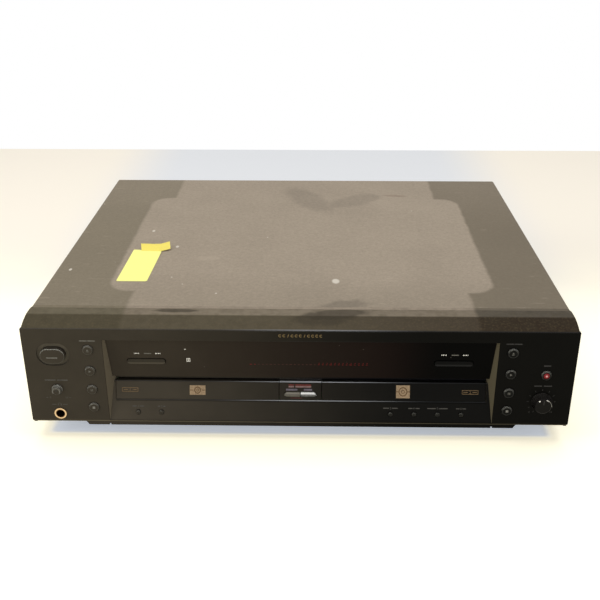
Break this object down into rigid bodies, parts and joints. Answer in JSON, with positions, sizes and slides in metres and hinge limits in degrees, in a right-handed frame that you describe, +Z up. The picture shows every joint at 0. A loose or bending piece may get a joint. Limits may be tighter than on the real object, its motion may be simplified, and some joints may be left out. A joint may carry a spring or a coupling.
{
  "type": "twin-tray disc player",
  "caption": "Full-width hi-fi disc player and recorder with side-by-side sliding trays, a smoked display window above them, round keys, level knobs and a folded steel cover.",
  "frame": {"origin": "on the floor under the middle of the box round the player", "axes": "+X to the right as seen from the front, +Y from the front to the back, +Z up"},
  "size_m": [0.43, 0.383, 0.104],
  "materials": {
    "cover_paint": "textured grey-brown paint, dusty",
    "rear_paint": "satin black paint",
    "plated_steel": "zinc plated sheet",
    "panel_plastic": "satin near-black moulding",
    "smoked_window": "smoked, glossy",
    "tube_glass": "clear glass over a dark ground",
    "circuit_board": "green lacquered board",
    "core_steel": "laminated core, varnished",
    "black_plastic": "moulded, fine texture",
    "socket_brass": "turned, bright",
    "foot_rubber": "moulded, matt",
    "screw_steel": "blackened",
    "belt_rubber": "smooth",
    "gear_plastic": "natural white",
    "sled_plastic": "moulded, satin",
    "key_plastic": "satin near-black",
    "silver_key": "silver paint, satin",
    "grey_key": "warm grey, satin"
  },
  "bodies": {
    "cabinet": {"top_cover": "cover_paint", "bottom_chassis": "plated_steel", "rear_panel": "rear_paint", "front_panel": "panel_plastic", "display_window": "smoked_window", "display_tube": "tube_glass", "front_board": "circuit_board", "main_board": "circuit_board", "power_board": "circuit_board", "power_transformer": "core_steel", "headphone_jack": "black_plastic", "headphone_bush": "socket_brass", "rear_jacks": "black_plastic", "cord_gland": "black_plastic", "feet": "foot_rubber", "screws": "screw_steel", "loading_motors": "plated_steel", "loading_belts": "belt_rubber", "loader_frame_1": "black_plastic", "loader_frame_2": "black_plastic", "clamp_bridge_1": "plated_steel", "clamp_bridge_2": "plated_steel"},
    "tray_1": {"tray_1": "black_plastic", "tray_door_1": "panel_plastic"},
    "loading_gear_1": {"loading_gear_1": "gear_plastic"},
    "motor_pulley_1": {"motor_pulley_1": "gear_plastic"},
    "traverse_1": {"traverse_1": "plated_steel"},
    "turntable_1": {"turntable_1": "black_plastic"},
    "pickup_sled_1": {"pickup_sled_1": "sled_plastic"},
    "clamp_puck_1": {"clamp_puck_1": "black_plastic"},
    "tray_2": {"tray_2": "black_plastic", "tray_door_2": "panel_plastic"},
    "loading_gear_2": {"loading_gear_2": "gear_plastic"},
    "motor_pulley_2": {"motor_pulley_2": "gear_plastic"},
    "traverse_2": {"traverse_2": "plated_steel"},
    "turntable_2": {"turntable_2": "black_plastic"},
    "pickup_sled_2": {"pickup_sled_2": "sled_plastic"},
    "clamp_puck_2": {"clamp_puck_2": "black_plastic"},
    "power_button": {"power_button": "key_plastic"},
    "phone_level_knob": {"phone_level_knob": "key_plastic"},
    "record_level_knob": {"record_level_knob": "key_plastic"},
    "record_button": {"record_button": "key_plastic"},
    "deck_1_open_key": {"deck_1_open_key": "key_plastic"},
    "deck_1_play_key": {"deck_1_play_key": "key_plastic"},
    "deck_1_pause_key": {"deck_1_pause_key": "key_plastic"},
    "deck_1_stop_key": {"deck_1_stop_key": "key_plastic"},
    "deck_2_open_key": {"deck_2_open_key": "key_plastic"},
    "deck_2_play_key": {"deck_2_play_key": "key_plastic"},
    "deck_2_pause_key": {"deck_2_pause_key": "key_plastic"},
    "deck_2_stop_key": {"deck_2_stop_key": "key_plastic"},
    "skip_rocker_1": {"skip_rocker_1": "grey_key"},
    "sync_key_1": {"sync_key_1": "silver_key"},
    "skip_rocker_2": {"skip_rocker_2": "grey_key"},
    "sync_key_2": {"sync_key_2": "silver_key"},
    "small_key_1": {"small_key_1": "grey_key"},
    "small_key_2": {"small_key_2": "grey_key"},
    "small_key_3": {"small_key_3": "grey_key"},
    "small_key_4": {"small_key_4": "grey_key"},
    "small_key_5": {"small_key_5": "grey_key"},
    "small_key_6": {"small_key_6": "grey_key"}
  },
  "joints": [
    {"name": "tray_1_slide", "type": "slide", "parent": "cabinet", "child": "tray_1", "axis": [0, -1, 0], "range_m": [0, 0.14]},
    {"name": "loading_gear_1_turn", "type": "hinge", "parent": "cabinet", "child": "loading_gear_1", "pos_m": [-0.04375, -0.1439, 0.0353], "axis": [0, 0, -1], "range_deg": [0, 669]},
    {"name": "motor_pulley_1_turn", "type": "hinge", "parent": "cabinet", "child": "motor_pulley_1", "pos_m": [-0.07175, -0.1439, 0.0314], "axis": [0, 0, -1], "range_deg": [0, 2006]},
    {"name": "traverse_1_tilt", "type": "hinge", "parent": "cabinet", "child": "traverse_1", "pos_m": [-0.08175, 0.0005, 0.033], "axis": [1, 0, 0], "range_deg": [0, 3.6]},
    {"name": "turntable_1_spin", "type": "hinge", "parent": "traverse_1", "child": "turntable_1", "pos_m": [-0.08175, -0.1035, 0.043], "axis": [0, 0, 1], "continuous": true},
    {"name": "pickup_1_slide", "type": "slide", "parent": "traverse_1", "child": "pickup_sled_1", "axis": [0, 1, 0], "range_m": [0, 0.033]},
    {"name": "clamp_puck_1_spin", "type": "hinge", "parent": "cabinet", "child": "clamp_puck_1", "pos_m": [-0.08175, -0.1035, 0.05], "axis": [0, 0, 1], "continuous": true},
    {"name": "tray_2_slide", "type": "slide", "parent": "cabinet", "child": "tray_2", "axis": [0, -1, 0], "range_m": [0, 0.14]},
    {"name": "loading_gear_2_turn", "type": "hinge", "parent": "cabinet", "child": "loading_gear_2", "pos_m": [0.12175, -0.1439, 0.0353], "axis": [0, 0, -1], "range_deg": [0, 669]},
    {"name": "motor_pulley_2_turn", "type": "hinge", "parent": "cabinet", "child": "motor_pulley_2", "pos_m": [0.09375, -0.1439, 0.0314], "axis": [0, 0, -1], "range_deg": [0, 2006]},
    {"name": "traverse_2_tilt", "type": "hinge", "parent": "cabinet", "child": "traverse_2", "pos_m": [0.08375, 0.0005, 0.033], "axis": [1, 0, 0], "range_deg": [0, 3.6]},
    {"name": "turntable_2_spin", "type": "hinge", "parent": "traverse_2", "child": "turntable_2", "pos_m": [0.08375, -0.1035, 0.043], "axis": [0, 0, 1], "continuous": true},
    {"name": "pickup_2_slide", "type": "slide", "parent": "traverse_2", "child": "pickup_sled_2", "axis": [0, 1, 0], "range_m": [0, 0.033]},
    {"name": "clamp_puck_2_spin", "type": "hinge", "parent": "cabinet", "child": "clamp_puck_2", "pos_m": [0.08375, -0.1035, 0.05], "axis": [0, 0, 1], "continuous": true},
    {"name": "power_button_press", "type": "slide", "parent": "cabinet", "child": "power_button", "axis": [0, 1, 0], "range_m": [0, 0.002], "stiffness_N_per_m": 300},
    {"name": "phone_level_knob_turn", "type": "hinge", "parent": "cabinet", "child": "phone_level_knob", "pos_m": [-0.1915, -0.1835, 0.046], "axis": [0, 1, 0], "range_deg": [-150, 150]},
    {"name": "record_level_knob_turn", "type": "hinge", "parent": "cabinet", "child": "record_level_knob", "pos_m": [0.1915, -0.1835, 0.038], "axis": [0, 1, 0], "range_deg": [-150, 150]},
    {"name": "record_button_press", "type": "slide", "parent": "cabinet", "child": "record_button", "axis": [0, 1, 0], "range_m": [0, 0.0008], "stiffness_N_per_m": 300},
    {"name": "deck_1_open_key_press", "type": "slide", "parent": "cabinet", "child": "deck_1_open_key", "axis": [0, 1, 0], "range_m": [0, 0.0008], "stiffness_N_per_m": 300},
    {"name": "deck_1_play_key_press", "type": "slide", "parent": "cabinet", "child": "deck_1_play_key", "axis": [0, 1, 0], "range_m": [0, 0.0008], "stiffness_N_per_m": 300},
    {"name": "deck_1_pause_key_press", "type": "slide", "parent": "cabinet", "child": "deck_1_pause_key", "axis": [0, 1, 0], "range_m": [0, 0.0008], "stiffness_N_per_m": 300},
    {"name": "deck_1_stop_key_press", "type": "slide", "parent": "cabinet", "child": "deck_1_stop_key", "axis": [0, 1, 0], "range_m": [0, 0.0008], "stiffness_N_per_m": 300},
    {"name": "deck_2_open_key_press", "type": "slide", "parent": "cabinet", "child": "deck_2_open_key", "axis": [0, 1, 0], "range_m": [0, 0.0008], "stiffness_N_per_m": 300},
    {"name": "deck_2_play_key_press", "type": "slide", "parent": "cabinet", "child": "deck_2_play_key", "axis": [0, 1, 0], "range_m": [0, 0.0008], "stiffness_N_per_m": 300},
    {"name": "deck_2_pause_key_press", "type": "slide", "parent": "cabinet", "child": "deck_2_pause_key", "axis": [0, 1, 0], "range_m": [0, 0.0008], "stiffness_N_per_m": 300},
    {"name": "deck_2_stop_key_press", "type": "slide", "parent": "cabinet", "child": "deck_2_stop_key", "axis": [0, 1, 0], "range_m": [0, 0.0008], "stiffness_N_per_m": 300},
    {"name": "skip_rocker_1_tilt", "type": "hinge", "parent": "cabinet", "child": "skip_rocker_1", "pos_m": [-0.1205, -0.16774, 0.0676], "axis": [0, 0, 1], "range_deg": [-2, 2], "stiffness_Nm_per_rad": 0.1},
    {"name": "sync_key_1_press", "type": "slide", "parent": "cabinet", "child": "sync_key_1", "axis": [0, 1, 0], "range_m": [0, 0.0008], "stiffness_N_per_m": 300},
    {"name": "skip_rocker_2_tilt", "type": "hinge", "parent": "cabinet", "child": "skip_rocker_2", "pos_m": [0.1215, -0.16774, 0.0676], "axis": [0, 0, 1], "range_deg": [-2, 2], "stiffness_Nm_per_rad": 0.1},
    {"name": "sync_key_2_press", "type": "slide", "parent": "cabinet", "child": "sync_key_2", "axis": [0, 1, 0], "range_m": [0, 0.0008], "stiffness_N_per_m": 300},
    {"name": "small_key_1_press", "type": "slide", "parent": "cabinet", "child": "small_key_1", "axis": [0, 1, 0], "range_m": [0, 0.0008], "stiffness_N_per_m": 300},
    {"name": "small_key_2_press", "type": "slide", "parent": "cabinet", "child": "small_key_2", "axis": [0, 1, 0], "range_m": [0, 0.0008], "stiffness_N_per_m": 300},
    {"name": "small_key_3_press", "type": "slide", "parent": "cabinet", "child": "small_key_3", "axis": [0, 1, 0], "range_m": [0, 0.0008], "stiffness_N_per_m": 300},
    {"name": "small_key_4_press", "type": "slide", "parent": "cabinet", "child": "small_key_4", "axis": [0, 1, 0], "range_m": [0, 0.0008], "stiffness_N_per_m": 300},
    {"name": "small_key_5_press", "type": "slide", "parent": "cabinet", "child": "small_key_5", "axis": [0, 1, 0], "range_m": [0, 0.0008], "stiffness_N_per_m": 300},
    {"name": "small_key_6_press", "type": "slide", "parent": "cabinet", "child": "small_key_6", "axis": [0, 1, 0], "range_m": [0, 0.0008], "stiffness_N_per_m": 300}
  ],
  "couplings": [
    {"joint": "loading_gear_1_turn", "follows": "tray_1_slide", "rad_per_m": 83.333},
    {"joint": "motor_pulley_1_turn", "follows": "tray_1_slide", "rad_per_m": 250},
    {"joint": "clamp_puck_1_spin", "follows": "turntable_1_spin", "ratio": 1},
    {"joint": "loading_gear_2_turn", "follows": "tray_2_slide", "rad_per_m": 83.333},
    {"joint": "motor_pulley_2_turn", "follows": "tray_2_slide", "rad_per_m": 250},
    {"joint": "clamp_puck_2_spin", "follows": "turntable_2_spin", "ratio": 1}
  ]
}
